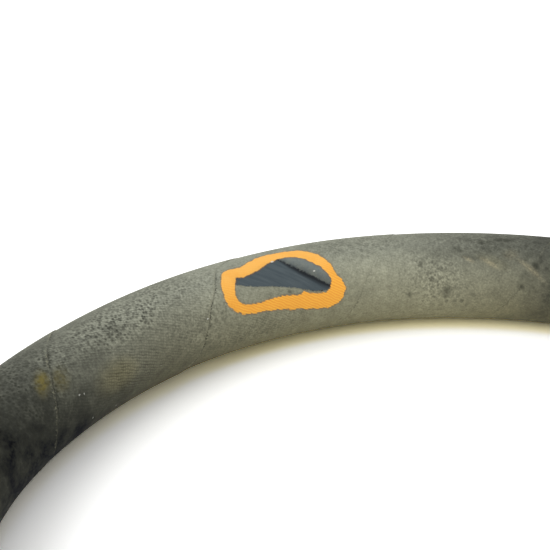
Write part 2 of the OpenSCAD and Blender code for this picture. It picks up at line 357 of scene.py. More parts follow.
def ring_marks(along, around):
    """Signed distances in mm to the paint, the slice, its deep edge and the scuffed lip. Those to the
    deep edge are in widths of its painted shadow line."""
    paint, cut, deep, lip = (np.full(along.shape, OFF_RING) for _ in range(4))
    near, here = by_ring(along, around)
    outer = inside(here, hand_drawn(RING_OUTER, 3, OUTER_WAVER))
    inner = inside(here, hand_drawn(RING_INNER, 7, INNER_WAVER))
    in_slice = inside(here, SLICE_LINE)
    width = np.interp(here[:, 0], *np.array(LIP_SHADOW_LINE).T)
    paint[near] = np.minimum(outer, -inner)
    cut[near] = in_slice
    deep[near] = to_edges(here, SLICE_DEEP) * np.where(in_slice > 0, 1, -1) / width
    lip[near] = np.minimum(inside(here, LIP_LINE), inner)
    return paint, cut, deep, lip


def slice_depth(along, around):
    """How deep the knife went: from nothing at the lower and upper edges to its deep edge."""
    depth = np.zeros(along.shape)
    near, here = by_ring(along, around)
    lower = to_edges(here, SLICE_LOWER)
    upper = to_edges(here, SLICE_UPPER)
    slope = SLICE_SLOPE * (lower * upper / (lower + upper + 1e-6))
    wall = np.clip(to_edges(here, SLICE_DEEP) / SLICE_WALL, 0, 1)
    depth[near] = np.where(inside(here, SLICE_LINE) > 0,
                           np.minimum(SLICE_DEPTH, slope) * wall ** 2 * (3 - 2 * wall), 0)
    return depth


def cover_radius(along, around):
    """Each turn of tape is full beside the next seam and thins towards the seam that it starts at."""
    left, right, left_bold, _ = seam_distances(along, around)
    start = (right / (left + right)) ** 2
    return HOSE_R - SEAM_STEP * left_bold * start - slice_depth(along, around)


# --- Weathering, with some painted shade and bounce light: patches in mm (along, around, half length, half width, turn, strength) ---

# Brightness of the dark colour, dirt and in places painted shade, as a share of the clean grey's
DIRT_AND_SHADE_SHARE = 0.083
# Brightness along the hose as a share of clean grey: over 1 paler with dust, under 1 darker
TONE_ALONG = [(-400, 0.6), (-300, 0.5), (-230, 0.3), (-185, 0.16), (-172, 0.23), (-160, 0.43),
              (-150, 0.61), (-140, 0.71), (-120, 0.87), (-105, 0.91), (-92, 1.02), (-50, 1.01),
              (-20, 1.05), (-5, 1.07), (5, 0.93), (15, 0.78), (25, 0.55), (33, 0.36), (50, 0.5),
              (120, 0.6), (400, 0.6)]
# Places darker or paler than that; their strength is the change in brightness. The dark ones low on the
# left, near the underside, are partly dirt and partly painted shade under the hose.
TONES = [(-172, 32, 40, 15, 0, -0.9), (-141, 13, 5, 5, 0, -0.2), (-118, 31, 36, 8, 0, -0.36),
         (-136, 19, 9, 4, 0, 0.2), (-186, 17, 9, 12, 0, -0.5), (-151, 20, 7, 5, 0, -0.3),
         (-126, 4, 22, 9, 0, 0.22), (-104, 14, 12, 9, 0, 0.1), (-152, -5, 26, 5, 0, -0.2),
         (-115, -5, 22, 4, 0, -0.15), (8, 2, 30, 11, 0, -0.36), (-32, 12, 12, 5, 0, 0.12),
         (-92, 10, 5, 4, 0, 0.15), (-45, 1, 10, 4, 0, -0.12), (-5, 8, 7, 4, 0, -0.15),
         (15, 8, 8, 4, 0, -0.15), (-112, 17, 11, 7, 0, -0.14), (-162, 12, 6, 4, 0, -0.2),
         (-166, 29, 16, 6, 0, -0.3), (7, 19, 10, 10, 0, -0.08), (-124, 27, 20, 6, 0, -0.1),
         (-34, 2, 14, 5, 0, -0.05)]
# How much of the cloth's print shows all over, and where it shows more
PLAIN_WEAVE = 0.15
WEAVES = [(-129, 20, 18, 8, -6, 0.8), (-112, 16, 24, 14, 0, 0.45), (-160, 20, 22, 16, 0, 0.45),
          (-130, 4, 44, 12, 0, 0.6), (-75, 24, 24, 6, 0, 0.45), (-240, 0, 60, 40, 0, 0.5),
          (120, 10, 80, 40, 0, 0.5)]
# Where dark specks lie thick
SPECKS = [(-164, 4, 22, 13, 0, 0.9), (-126, 5, 24, 8, 0, 0.95), (-108, 2, 20, 9, 0, 0.6),
          (-105, 16, 13, 9, 0, 0.4), (-33, 0, 20, 7, 0, 0.35), (-80, 26, 18, 5, 0, 0.3),
          (-176, 16, 20, 16, 0, 0.9), (-96, 14, 14, 9, 0, 0.35), (-8, 16, 12, 9, 0, 0.55),
          (14, 3, 24, 7, 0, 0.4), (90, 8, 60, 20, 0, 0.4), (-260, 0, 50, 20, 0, 0.6),
          (200, -10, 50, 20, 0, 0.5)]
# Where larger dabs of dirt lie between the specks
DABS = [(-9, 14, 9, 7, 0, 0.4), (14, 3, 24, 7, 0, 0.5), (-34, 3, 14, 6, 0, 0.4),
        (-94, 20, 9, 7, 0, 0.4), (-76, 27, 14, 5, 0, 0.4), (0, 24, 12, 5, 0, 0.5),
        (-176, 14, 20, 18, 0, 0.5), (-130, 4, 24, 8, 0, 0.35), (32, 10, 8, 20, 0, 0.5),
        (90, 8, 60, 20, 0, 0.4)]
# Olive patches above the underside, partly the rubber's own colour and partly painted bounce light
OLIVES_AND_BOUNCE = [(-136, 20, 11, 6, 0, 0.9), (-20, 30, 90, 6, 0, 0.6), (14, 12, 8, 3, 20, 0.5),
          (60, 28, 60, 8, 0, 0.4)]
# Single dark spots
SPOTS = [(-3.6, 21.3, 2.1, 2.1, 0, 0.55), (-129, 6.8, 3.0, 2.2, 0, 0.3),
         (27.8, 11.7, 1.3, 1.3, 0, 0.9), (23.2, 19.1, 1.2, 1.2, 0, 0.7), (-6, 14, 1.0, 0.8, 0, 0.6),
         (-9, 17, 1.0, 0.9, 0, 0.6), (-13, 12, 0.9, 0.8, 0, 0.6), (1, 7, 2.0, 1.0, 20, 0.5),
         (17, 1.5, 3.2, 1.3, 0, 0.6), (10, 3.5, 2.5, 1.0, 10, 0.5), (4.5, 9.5, 3.5, 0.9, 8, 0.5),
         (-17.5, 22, 1.0, 1.2, 0, 0.5), (-63.3, 15.4, 0.8, 0.6, 0, 0.6)]
# The two lobes of a mustard stain
MUSTARDS = [(-161.3, 8.3, 3.9, 2.1, -39, 0.75), (-155.5, 10.6, 3.7, 2.7, -39, 0.35)]
# Tan scratches
TANS = [(4.3, 10.6, 2.1, 0.55, 28, 0.6), (11.8, 11.6, 3.6, 0.65, 30, 0.6),
        (26, 12.9, 5.4, 0.8, 36, 0.5), (19, 8.2, 2.5, 2.2, 0, 0.2)]
# Small pale dots
DOTS = [(-152.8, 17.3, 0.45, 0.45, 0, 0.75), (-150.9, 18, 0.4, 0.4, 0, 0.75),
        (-148.6, 27.5, 0.4, 0.4, 0, 0.8), (-96.3, 15.9, 0.4, 0.4, 0, 0.9),
        (-52.2, 10.3, 0.5, 0.35, 0, 0.9), (-60.3, 8.3, 0.4, 0.3, 0, 0.5), (-65, 3.3, 0.7, 0.4, 0, 0.9),
        (-137, 30, 0.35, 0.35, 0, 0.7), (-118, 24, 0.3, 0.3, 0, 0.6)]
# The rubber turns olive from the top to the sides, partly its own tint and partly painted warm bounce
# light, and less so along the left of the hose
OLIVE_AND_BOUNCE_AROUND = [(5, 0), (34, 1)]
OLIVE_AND_BOUNCE_ALONG = [(-150, 0.4), (-115, 0.9), (0, 0.95), (20, 1.2)]
COVER_MARKS = ("seam", "bold", "paint", "cut", "deep", "lip", "tone", "olive", "weave", "specks",
               "dabs", "spots", "mustard", "tan", "dots")


def patches(along, around, spots):
    """Soft-edged patches on the cover; where they overlap, the strongest shows."""
    level = np.zeros(along.shape)
    for at, down, long, wide, turn, strength in spots:
        c, s = math.cos(math.radians(turn)), math.sin(math.radians(turn))
        x = ((along - at) * c + (around - down) * s) / long
        y = ((around - down) * c - (along - at) * s) / wide
        level = np.maximum(level, strength * np.exp(-(x * x + y * y) ** 1.5))
    return level


def cover_tone(along, around):
    """Share of clean grey in the cover's colour; the rest is the dark colour's: dirt, and in places
    painted shade.
    """
    tone = np.interp(along, *np.array(TONE_ALONG).T)
    for *patch, strength in TONES:
        tone = tone * (1 + strength * patches(along, around, [(*patch, 1)]))
    return (tone - DIRT_AND_SHADE_SHARE) / (1 - DIRT_AND_SHADE_SHARE)


def cover_marks(along, around):
    """What the cover's material reads at each vertex, by the names in COVER_MARKS."""
    left, right, _, bold = seam_distances(along, around)
    paint, cut, deep, lip = ring_marks(along, around)
    underside = np.interp(abs(around), *np.array(OLIVE_AND_BOUNCE_AROUND).T)
    underside = underside * np.interp(along, *np.array(OLIVE_AND_BOUNCE_ALONG).T)
    olive = np.maximum(underside, patches(along, around, OLIVES_AND_BOUNCE))
    weave = np.maximum(PLAIN_WEAVE, patches(along, around, WEAVES))
    small = [patches(along, around, spots) for spots in (SPECKS, DABS, SPOTS, MUSTARDS, TANS, DOTS)]
    levels = [np.where(left < right, left, -right), bold, paint, cut, deep, lip,
              cover_tone(along, around), olive, weave, *small]
    return dict(zip(COVER_MARKS, levels))


# --- Cover material ---

# The real print is 0.8 mm from thread to thread; it is drawn a little coarser, so that it shows
CLOTH_PITCH = 0.86
WARP_PITCH = 1.1 * CLOTH_PITCH
# The angle of its threads to the hose
TAPE_TURN = math.radians(63)
# The tape was pulled to and fro this far in mm as it went on, once in this length
PULL, PULL_LENGTH, PULL_START = 1.85, 140, 97
# Noise on the cover as repeats to the mm, detail and roughness: its mottle is 6 mm across, its
# clouds 2 mm and its grain 0.7 mm
COVER_NOISE = [(0.16, 5, 0.62), (0.5, 3, 0.55), (1.35, 3, 0.6)]
# The cloth's unevenness is 3 mm across, and bends the threads by up to this many mm
DRIFT_SCALE, DRIFT_BEND = 0.35, 1.2
# Dabs are 2.5 mm apart, specks 1.6 mm, and the blots between them 1.8 mm
DAB_SCALE, SPECK_SCALE, BLOT_SCALE = 0.4, 0.64, 0.55
# The grain shifts their edges by up to this many mm
SPECK_SHIFT = 0.55
# The blade's drag lines lie at this angle, 1 mm apart and eight times as long
DRAG_TURN = math.radians(-40)
DRAG_STRETCH = (0.12, 1.0, 1)


def cloth_print(tree, wrap, place):
    """The tape's cloth pressed into the rubber: its unevenness, its weft and its threads' height."""
    drift = add(tree, "TexNoise", {"Vector": wrap, "Scale": DRIFT_SCALE, "Detail": 2})
    bent = add(tree, "VectorMath", {0: drift.outputs["Color"], "Scale": DRIFT_BEND}, operation="SCALE")
    uneven = add(tree, "VectorMath", (wrap, bent))
    pull = add(tree, "Math",
               (place.outputs["X"], math.tau / PULL_LENGTH, math.tau * PULL_START / PULL_LENGTH),
               operation="MULTIPLY_ADD")
    pull = add(tree, "Math", {0: pull}, operation="COSINE")
    pull = add(tree, "CombineXYZ", {"Y": pull})
    pull = add(tree, "VectorMath", {0: pull, "Scale": PULL}, operation="SCALE")
    uneven = add(tree, "VectorMath", (uneven, pull))
    cloth = add(tree, "VectorRotate", {"Vector": uneven, "Angle": TAPE_TURN}, rotation_type="Z_AXIS")
    weft = add(tree, "TexWave", {"Vector": cloth, "Scale": BAND / CLOTH_PITCH}, bands_direction="X")
    warp = add(tree, "TexWave", {"Vector": cloth, "Scale": BAND / WARP_PITCH}, bands_direction="Y")
    threads = add(tree, "Math", (warp.outputs["Fac"], 0.6, 0.4), operation="MULTIPLY_ADD")
    threads = add(tree, "Math", (weft.outputs["Fac"], threads), operation="MULTIPLY")
    return drift, weft.outputs["Fac"], threads


def dusty_rubber(tree, mark, mottle, clouds, grain, drift, threads):
    """Clean grey that turns olive towards the underside, partly as painted bounce light, varied by
    dust, grain and the print's pits, with a dark colour over it that is dirt and, low on the left,
    painted shade."""
    # olive towards the underside is partly the rubber's own tint and partly painted bounce light
    clean = add(tree, "Mix", {0: mark["olive"], 6: srgb("#929485"), 7: srgb("#959070")},
                data_type="RGBA")
    by_mottle = add(tree, "MapRange", (mottle, 0.3, 0.7, 0.88, 1.12))
    by_clouds = add(tree, "MapRange", (clouds, 0.3, 0.7, 0.86, 1.12))
    # the grain shows more where the specks lie thick
    coarse = add(tree, "MapRange", (mark["specks"], 0, 0.7, 0.42, 0.7))
    by_grain = add(tree, "MapRange", (grain, 0.3, 0.7, -0.5, 0.5))
    by_grain = add(tree, "Math", (by_grain, coarse, 1.0), operation="MULTIPLY_ADD")
    worn = add(tree, "MapRange", (drift, 0.35, 0.65, 0.4, 1.2))
    worn = add(tree, "Math", (mark["weave"], worn), operation="MULTIPLY")
    pits = add(tree, "MapRange", (threads, 0, 0.7, 1, 0))
    pits = add(tree, "Math", (pits, worn), operation="MULTIPLY")
    by_pits = add(tree, "MapRange", (pits, 0, 1.2, 1.12, 0.35))
    light = by_mottle
    for factor in (by_clouds, by_grain, by_pits):
        light = add(tree, "Math", (light, factor), operation="MULTIPLY")
    clean = add(tree, "VectorMath", {0: clean, "Scale": light}, operation="SCALE")
    # no clamp, so that a tone over 1 is paler than the clean grey
    # the dark colour is dirt, and low on the left also painted shade under the hose
    dirt_and_shade = add(tree, "Math", (1.0, mark["tone"]), operation="SUBTRACT")
    by_mottle = add(tree, "MapRange", (mottle, 0.3, 0.7, 1.12, 0.88))
    dirt_and_shade = add(tree, "Math", (dirt_and_shade, by_mottle), operation="MULTIPLY")
    colour = add(tree, "Mix", {0: dirt_and_shade, 6: clean, 7: srgb("#2b2c28")}, data_type="RGBA",
                 clamp_factor=False)
    # the rubber between the specks is paler
    paler = add(tree, "MapRange", (mark["specks"], 0, 1, 1, 1.12))
    return add(tree, "VectorMath", {0: colour, "Scale": paler}, operation="SCALE")


def specks_and_dabs(tree, mark, wrap, mottle, grain):
    """Fine dark specks and larger dabs, thicker in places, as layers."""
    shift = add(tree, "VectorMath", {0: grain.outputs["Color"], "Scale": SPECK_SHIFT},
                operation="SCALE")
    ragged = add(tree, "VectorMath", (wrap, shift))
    specks = add(tree, "TexVoronoi", {"Vector": ragged, "Scale": SPECK_SCALE}, voronoi_dimensions="2D")
    speck = add(tree, "MapRange", (specks.outputs["Distance"], 0.12, 0.45, 0.95, 0),
                interpolation_type="SMOOTHSTEP")
    by_mottle = add(tree, "MapRange", (mottle, 0.4, 0.6, 0.5, 1))
    speck = add(tree, "Math", (speck, by_mottle), operation="MULTIPLY")
    blots = add(tree, "TexNoise", {"Vector": ragged, "Scale": BLOT_SCALE, "Detail": 2})
    blot = add(tree, "MapRange", (blots, 0.36, 0.47, 0.55, 0))
    speck = add(tree, "Math", (speck, blot), operation="MAXIMUM")
    speck = add(tree, "Math", (speck, mark["specks"]), operation="MULTIPLY")

    dabs = add(tree, "TexVoronoi", {"Vector": ragged, "Scale": DAB_SCALE}, voronoi_dimensions="2D")
    kind = add(tree, "SeparateColor", {0: dabs.outputs["Color"]})
    kind = add(tree, "MapRange", (kind.outputs["Red"], 0.1, 0.7, 0.1, 0.8))
    dab = add(tree, "MapRange", (dabs.outputs["Distance"], 0.14, 0.46, 1, 0),
              interpolation_type="SMOOTHSTEP")
    dab = add(tree, "Math", (dab, kind), operation="MULTIPLY")
    dab = add(tree, "Math", (dab, mark["dabs"]), operation="MULTIPLY")
    return [(speck, "#33342d"), (dab, "#34352e")]


def spots_and_stains(tree, mark, clouds, grain):
    """Single dark spots, a translucent mustard stain and tan scratches, as layers."""
    layers = []
    for name, varied, over in (("spots", (clouds, 0.35, 0.6, 1.1, 0.85), "#34352d"),
                               ("mustard", (clouds, 0.4, 0.6, 0.5, 1.05), "#7f7336"),
                               ("tan", (grain, 0.4, 0.6, 0.4, 1), "#b0a687")):
        share = add(tree, "Math", (mark[name], add(tree, "MapRange", varied)), operation="MULTIPLY")
        layers.append((share, over))
    return layers


def seams(tree, mark, clouds, grain):
    """The tape's edge: a broken dark crack that is partly the step's painted shadow, and bits of pale
    frayed thread on its left that are partly a painted highlight, as layers.
    """
    fray = add(tree, "Math", (grain, 2.4, -1.2), operation="MULTIPLY_ADD")
    off_seam = add(tree, "Math", (mark["seam"], fray))
    broken = add(tree, "MapRange", (clouds, 0.42, 0.56, 0.4, 1.5))
    broken = add(tree, "Math", (mark["bold"], broken), operation="MULTIPLY")

    # partly painted shadow: the dark crack on the step's shaded side
    crack_and_shadow = add(tree, "Math", {0: off_seam}, operation="ABSOLUTE")
    crack_and_shadow = add(tree, "MapRange", (crack_and_shadow, 0.08, 0.36, 0.9, 0))
    crack_and_shadow = add(tree, "Math", (crack_and_shadow, broken), operation="MULTIPLY")

    # partly painted highlight: pale thread along the raised edge's lit side
    thread = add(tree, "Math", (off_seam, 0.55))
    thread = add(tree, "Math", {0: thread}, operation="ABSOLUTE")
    thread = add(tree, "MapRange", (thread, 0.1, 0.38, 1, 0))
    thread = add(tree, "Math", (thread, broken), operation="MULTIPLY")
    bits = add(tree, "MapRange", (grain, 0.44, 0.58, 0.2, 0.9))
    thread = add(tree, "Math", (thread, bits), operation="MULTIPLY")
    return [(thread, "#9a9880"), (crack_and_shadow, "#262620")]


def add_slice(tree, mark, wrap, clouds, grain, colour):
    """Fresh blue-black rubber in the slice under a scuffed lip, with the lip's shadow painted dark
    along the deep edge. Gives the colour, the cut's share of it and the blade's drag lines."""
    by_cut = add(tree, "MapRange", (mark["deep"], -2.0, -0.2, 0, 1))
    scuffed = add(tree, "Mix", {0: by_cut, 6: srgb("#717a7b"), 7: srgb("#545c5e")}, data_type="RGBA")
    by_clouds = add(tree, "MapRange", (clouds, 0.3, 0.7, 0.7, 1.1))
    lip = add(tree, "MapRange", (mark["lip"], -0.9, -0.4, 0, 0.85))
    lip = add(tree, "Math", (lip, by_clouds), operation="MULTIPLY")
    colour = add(tree, "Mix", {0: lip, 6: colour, 7: scuffed}, data_type="RGBA")

    slant = add(tree, "VectorRotate", {"Vector": wrap, "Angle": DRAG_TURN}, rotation_type="Z_AXIS")
    slant = add(tree, "VectorMath", (slant, DRAG_STRETCH), operation="MULTIPLY")
    drag = add(tree, "TexNoise", {"Vector": slant, "Scale": 1.0, "Detail": 3})
    by_drag = add(tree, "MapRange", (drag, 0.3, 0.7, 0, 1))
    fresh = add(tree, "Mix", {0: by_drag, 6: srgb("#4c565b"), 7: srgb("#5a6468")}, data_type="RGBA")
    thin = add(tree, "MapRange", (mark["cut"], 0.2, 1.8, 0.15, 0))
    fresh = add(tree, "Mix", {0: thin, 6: fresh, 7: srgb("#454d51")}, data_type="RGBA")
    # painted shadow: the lip's shadow along the deep edge
    painted_lip_shadow = add(tree, "MapRange", (mark["deep"], 0.5, 1.6, 0.9, 0))
    fresh = add(tree, "Mix", {0: painted_lip_shadow, 6: fresh, 7: srgb("#1d2024")}, data_type="RGBA")
    torn = add(tree, "Math", (grain, 1.6, -0.8), operation="MULTIPLY_ADD")
    cut = add(tree, "Math", (mark["cut"], torn))
    cut = add(tree, "MapRange", (cut, -0.15, 0.3, 0, 1))
    colour = add(tree, "Mix", {0: cut, 6: colour, 7: fresh}, data_type="RGBA")
    return colour, cut, drag


def add_paint(tree, mark, place, mottle, clouds, grain, weft, colour):
    """Marking paint: thin along the top, thick lower down, where the print's pits show through it.
    Gives the colour and the paint's share of it."""
    low = add(tree, "MapRange", (place.outputs["Y"], 5, 15, 0, 1))
    # its edge is ragged, and low down it follows the weft's threads
    brushed = add(tree, "Math", (grain, 0.25, -0.125), operation="MULTIPLY_ADD")
    bumpy = add(tree, "Math", (clouds, 1.2, -0.6), operation="MULTIPLY_ADD")
    teeth = add(tree, "Math", (weft, low), operation="MULTIPLY")
    teeth = add(tree, "Math", (teeth, 0.18), operation="MULTIPLY")
    edge = add(tree, "Math", (mark["paint"], brushed))
    edge = add(tree, "Math", (edge, bumpy))
    edge = add(tree, "Math", (edge, teeth))
    paint = add(tree, "MapRange", (edge, -0.1, 0.25, 0, 1))
    rim = add(tree, "MapRange", (edge, -0.5, 0.05, 0, 0.5))

    orange = add(tree, "Mix", {0: low, 6: srgb("#eeb45a"), 7: srgb("#ffb644")}, data_type="RGBA")
    rows = add(tree, "MapRange", (weft, 0, 0.6, 1, 0))
    by_low = add(tree, "MapRange", (place.outputs["Y"], 6, 16, 0.12, 0.58))
    pits = add(tree, "Math", (rows, by_low), operation="MULTIPLY")
    orange = add(tree, "Mix", {0: pits, 6: orange, 7: srgb("#c07a2c")}, data_type="RGBA")
    thick = add(tree, "MapRange", (mottle, 0.45, 0.7, 0, 0.5))
    orange = add(tree, "Mix", {0: thick, 6: orange, 7: srgb("#e59a35")}, data_type="RGBA")
    colour = add(tree, "Mix", {0: rim, 6: colour, 7: srgb("#7d5a3a")}, data_type="RGBA")
    colour = add(tree, "Mix", {0: paint, 6: colour, 7: orange}, data_type="RGBA")
    return colour, paint


def cover_material():
    """Vulcanised rubber cover cured under cloth tape: matt, dusty, with the cloth's print.
    A knife has sliced it, and a ring of fluorescent marking paint goes round the slice."""
    material, tree = new_material("wrapped_rubber_cover")
    wrap = add(tree, "UVMap", uv_map="wrap_mm")
    place = add(tree, "SeparateXYZ", {0: wrap})
    mark = {name: add(tree, "Attribute", attribute_name=name).outputs["Fac"]
            for name in COVER_MARKS}
    mottle, clouds, grain = (
        add(tree, "TexNoise",
            {"Vector": wrap, "Scale": scale, "Detail": detail, "Roughness": roughness})
        for scale, detail, roughness in COVER_NOISE)
    drift, weft, threads = cloth_print(tree, wrap, place)

    colour = dusty_rubber(tree, mark, mottle, clouds, grain, drift, threads)
    layers = specks_and_dabs(tree, mark, wrap, mottle, grain)
    layers += spots_and_stains(tree, mark, clouds, grain)
    layers += seams(tree, mark, clouds, grain)
    for share, over in layers:
        colour = add(tree, "Mix", {0: share, 6: colour, 7: srgb(over)}, data_type="RGBA")
    colour, cut, drag = add_slice(tree, mark, wrap, clouds, grain, colour)
    colour, paint = add_paint(tree, mark, place, mottle, clouds, grain, weft, colour)
    pale_dot = add(tree, "MapRange", (mark["dots"], 0.35, 0.6, 0, 0.9))
    colour = add(tree, "Mix", {0: pale_dot, 6: colour, 7: srgb("#dcdcd2")}, data_type="RGBA")
    # painted light: the paint glows a little, so that it reads brighter than its colour can
    painted_glow = add(tree, "Mix", {0: paint, 6: srgb("#000000"), 7: srgb("#ffb65a")}, data_type="RGBA")

    roughness = add(tree, "MapRange", (cut, 0, 1, 0.78, 0.45))
    roughness = add(tree, "Mix", {0: paint, 2: roughness, 3: 0.55})
    # the print, the grain and the cut's drag lines stand up to 0.15 mm proud
    raised = add(tree, "MapRange", (mark["weave"], 0, 1, 0.35, 1))
    raised = add(tree, "Math", (threads, raised), operation="MULTIPLY")
    relief = add(tree, "Math", (grain, 0.4, raised), operation="MULTIPLY_ADD")
    smooth_cut = add(tree, "Math", (drag, 0.2), operation="MULTIPLY")
    relief = add(tree, "Mix", {0: cut, 2: relief, 3: smooth_cut})
    bump = add(tree, "Bump", {"Strength": 0.6, "Distance": 0.15 * MM, "Height": relief})
    shader = add(tree, "BsdfPrincipled",
                 {"Base Color": colour, "Roughness": roughness, "Specular IOR Level": 0.1,
                  "Normal": bump, "Emission Color": painted_glow, "Emission Strength": 0.2})
    add(tree, "OutputMaterial", {"Surface": shader})
    return material


# --- Materials of the layers under the cover ---

# Yarns and wires, in mm from one to the next, and the angle that they are wound at
YARN_PITCH = 1.0
WIRE_PITCH = 0.6
WINDING = math.radians(54)
# The press's lines along a rubber layer are 0.7 mm wide and 50 mm long
EXTRUSION = (0.02, 1.5, 1)


def rubber_material(name, code, roughness):
    """Extruded rubber: dark, smooth and a little greasy, with faint lines along the extrusion."""
    material, tree = new_material(name)
    wrap = add(tree, "UVMap", uv_map="wrap_mm")
    lengthwise = add(tree, "VectorMath", (wrap, EXTRUSION), operation="MULTIPLY")
    lines = add(tree, "TexNoise", {"Vector": lengthwise, "Scale": 1.0, "Detail": 3})
    tone = add(tree, "MapRange", (lines, 0.3, 0.7, 0, 0.3))
    colour = add(tree, "Mix", {0: tone, 6: srgb(code), 7: srgb("#4a4a4c")}, data_type="RGBA")
    bump = add(tree, "Bump", {"Strength": 0.4, "Distance": 0.05 * MM, "Height": lines})
    shader = add(tree, "BsdfPrincipled", {"Base Color": colour, "Roughness": roughness, "Normal": bump})
    add(tree, "OutputMaterial", {"Surface": shader})
    return material


def textile_material():
    """Rubberised textile ply: buff yarns wound over each other."""
    material, tree = new_material("rubberised_textile")
    wrap = add(tree, "UVMap", uv_map="wrap_mm")
    turned = add(tree, "VectorRotate", {"Vector": wrap, "Angle": WINDING}, rotation_type="Z_AXIS")
    over = add(tree, "TexWave", {"Vector": turned, "Scale": BAND / YARN_PITCH}, bands_direction="X")
    under = add(tree, "TexWave", {"Vector": turned, "Scale": BAND / YARN_PITCH}, bands_direction="Y")
    height = add(tree, "Math", (over.outputs["Fac"], under.outputs["Fac"]), operation="MULTIPLY")
    colour = add(tree, "Mix", {0: height, 6: srgb("#6f6244"), 7: srgb("#c9b98f")}, data_type="RGBA")
    bump = add(tree, "Bump", {"Strength": 0.8, "Distance": 0.1 * MM, "Height": height})
    shader = add(tree, "BsdfPrincipled", {"Base Color": colour, "Roughness": 0.9, "Normal": bump})
    add(tree, "OutputMaterial", {"Surface": shader})
    return material


def wire_ply_material(number):
    """Brass-plated spring wire, side by side, wound the other way in every second ply."""
    material, tree = new_material(f"spiral_wire_{number}")
    winding = WINDING if number % 2 else -WINDING
    wrap = add(tree, "UVMap", uv_map="wrap_mm")
    turned = add(tree, "VectorRotate", {"Vector": wrap, "Angle": winding}, rotation_type="Z_AXIS")
    wires = add(tree, "TexWave", {"Vector": turned, "Scale": BAND / WIRE_PITCH}, bands_direction="X")
    stains = add(tree, "TexNoise", {"Vector": wrap, "Scale": 0.3, "Detail": 4})
    plating = add(tree, "Mix", {0: stains, 6: srgb("#c7b078"), 7: srgb("#a8925c")}, data_type="RGBA")
    gap = add(tree, "MapRange", (wires.outputs["Fac"], 0, 0.35, 1, 0))
    colour = add(tree, "Mix", {0: gap, 6: plating, 7: srgb("#221d14")}, data_type="RGBA")
    bump = add(tree, "Bump", {"Strength": 1.0, "Distance": 0.15 * MM, "Height": wires.outputs["Fac"]})
    shader = add(tree, "BsdfPrincipled",
                 {"Base Color": colour, "Metallic": 1.0, "Roughness": 0.35, "Normal": bump})
    add(tree, "OutputMaterial", {"Surface": shader})
    return material


# --- The hose's layers ---

COVER_WALL = 1.5
BORE_R = 9.5
# Layers under the cover from the bore outwards: node, wall in mm, and the record's slot
LAYERS = [("inner_tube", 1.4, "tube_rubber"), ("textile_ply", 0.3, "textile"),
          ("wire_ply_1", 0.35, "ply_wire"), ("cushion_layer_1", 0.2, "cushion_rubber"),
          ("wire_ply_2", 0.35, "ply_wire"), ("cushion_layer_2", 0.2, "cushion_rubber"),
          ("wire_ply_3", 0.35, "ply_wire"), ("cushion_layer_3", 0.2, "cushion_rubber"),
          ("wire_ply_4", 0.35, "ply_wire")]
LAYER_SIDES, LAYER_STEP = 48, 6
# Stretches of the cover from A to B, as (up to, step): finest where the ring and the slice are
COVER_STRETCHES = [(60, 4), (40, 2), (-40, 0.8), (-90, 0.3), (-172, 0.5), (-190, 0.8), (-210, 2),
                   (-HOSE_LENGTH / 2, 4)]
COVER_BORE_STEP = 9
# Sides of the cover, the share of them on its front, and where that front is
COVER_SIDES, FRONT_SHARE = 132, 0.58
FRONT_START, FRONT_END = -6.0, 30.0


def stations(*stretches):
    """Places along the hose from A to B: each stretch is (up to, step) in mm."""
    places = [HOSE_LENGTH / 2]
    for end, step in stretches:
        count = max(1, round((places[-1] - end) / step))
        places += list(np.linspace(places[-1], end, count + 1)[1:])
    return np.array(places)


def fine_front():
    """Sides of the cover, over half of them on the part that bears the ring and the slice."""
    share = round(COVER_SIDES * FRONT_SHARE)
    before = np.linspace(-math.pi * HOSE_R, FRONT_START, (COVER_SIDES - share) * 2 // 3 + 1)[:-1]
    front = np.linspace(FRONT_START, FRONT_END, share + 1)[:-1]
    after = np.linspace(FRONT_END, math.pi * HOSE_R, COVER_SIDES - len(before) - len(front) + 1)
    return np.concatenate([before, front, after])


def wound_tube(name, outer_places, inner_places, sides, outer_r, inner_r, marks=None):
    """A closed tube along the hose: one grid runs out along its outside and back along its bore.
    outer_r gives the outer radius at a place, and marks the levels that its material reads there."""
    along_rows = np.concatenate([outer_places, inner_places[::-1], outer_places[:1]])
    is_outer = np.concatenate([np.ones(len(outer_places)), np.zeros(len(inner_places)), [1]]) > 0
    bm = bmesh.new()
    bm.loops.layers.uv.new("wrap_mm")
    bmesh.ops.create_grid(bm, x_segments=len(along_rows) - 1, y_segments=len(sides) - 1, size=1,
                          calc_uvs=True)
    mesh = bpy.data.meshes.new(name)
    bm.to_mesh(mesh)
    co = np.empty(len(mesh.vertices) * 3)
    mesh.vertices.foreach_get("co", co)
    co = co.reshape(-1, 3)
    row = np.rint((co[:, 0] + 1) / 2 * (len(along_rows) - 1)).astype(int)
    side = np.rint((co[:, 1] + 1) / 2 * (len(sides) - 1)).astype(int)
    along, around, outside = along_rows[row], sides[side], is_outer[row]
    radius = np.where(outside, outer_r(along, around), inner_r)
    mesh.vertices.foreach_set("co", wrap_point(along, around, radius).astype(np.float32).ravel())
    loop_vertex = np.empty(len(mesh.loops), dtype=np.int32)
    mesh.loops.foreach_get("vertex_index", loop_vertex)
    uv = np.stack([along[loop_vertex], around[loop_vertex]], -1)
    mesh.uv_layers["wrap_mm"].data.foreach_set("uv", uv.astype(np.float32).ravel())
    for mark, level in (marks(along, around) if marks else {}).items():
        data = mesh.attributes.new(mark, "FLOAT", "POINT").data
        data.foreach_set("value", level.astype(np.float32))
    bm.clear()
    bm.from_mesh(mesh)
    bmesh.ops.remove_doubles(bm, verts=bm.verts, dist=1e-7)
    bmesh.ops.recalc_face_normals(bm, faces=bm.faces)
    for face in bm.faces:
        face.smooth = True
    bm.to_mesh(mesh)
    bm.free()
    piece = bpy.data.objects.new(name, mesh)
    bpy.context.collection.objects.link(piece)
    return piece


